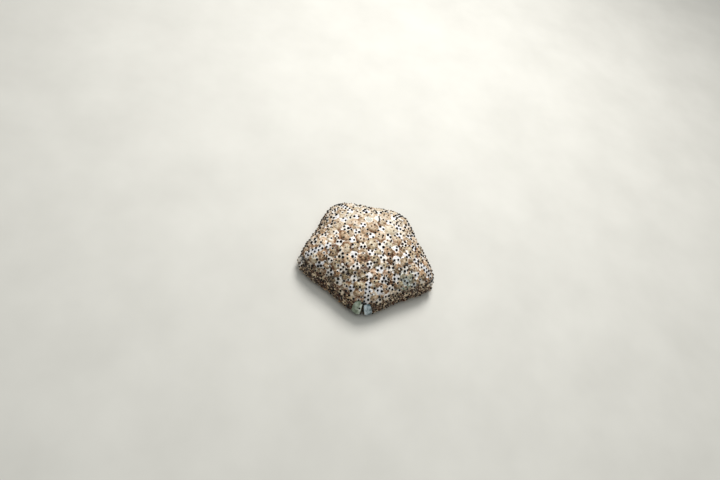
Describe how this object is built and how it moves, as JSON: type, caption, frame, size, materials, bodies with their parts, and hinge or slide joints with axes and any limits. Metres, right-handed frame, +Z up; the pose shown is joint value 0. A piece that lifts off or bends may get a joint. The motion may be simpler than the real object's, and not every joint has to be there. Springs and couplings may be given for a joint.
{
  "type": "spiny cushion sea star",
  "caption": "Still, life-size model of a plump, rounded five-sided sea star with short upturned arm tips, resting flat on its underside.",
  "frame": {"origin": "on the floor, under the middle of the body's bounding box", "axes": "+Z up; the front arm points along -Y, and +X is to its right seen from the front"},
  "size_m": [0.203, 0.176, 0.064],
  "materials": {
    "skin": "moist, finely pebbled skin: pale lavender plates with black tubercles between orange-brown and cream swellings",
    "terminal_plate": "near-black, satin",
    "tube_feet": "moist translucent amber",
    "jaws": "matt cream bone with short blunt spines",
    "sieve_plate": "matt whitish bone with fine winding grooves",
    "tubercles": "black, satin, round"
  },
  "bodies": {
    "root": {"disc": "skin", "arm_front": "skin", "arm_right": "skin", "arm_back_right": "skin", "arm_back_left": "skin", "arm_left": "skin", "arm_tip_front": "skin", "arm_tip_right": "skin", "arm_tip_back_right": "skin", "arm_tip_back_left": "skin", "arm_tip_left": "skin", "terminal_plate_front": "terminal_plate", "terminal_plate_right": "terminal_plate", "terminal_plate_back_right": "terminal_plate", "terminal_plate_back_left": "terminal_plate", "terminal_plate_left": "terminal_plate", "ambulacrum_front": "tube_feet", "ambulacrum_right": "tube_feet", "ambulacrum_back_right": "tube_feet", "ambulacrum_back_left": "tube_feet", "ambulacrum_left": "tube_feet", "jaw_front_right": "jaws", "jaw_side_right": "jaws", "jaw_back": "jaws", "jaw_side_left": "jaws", "jaw_front_left": "jaws", "madreporite": "sieve_plate"}
  },
  "joints": []
}
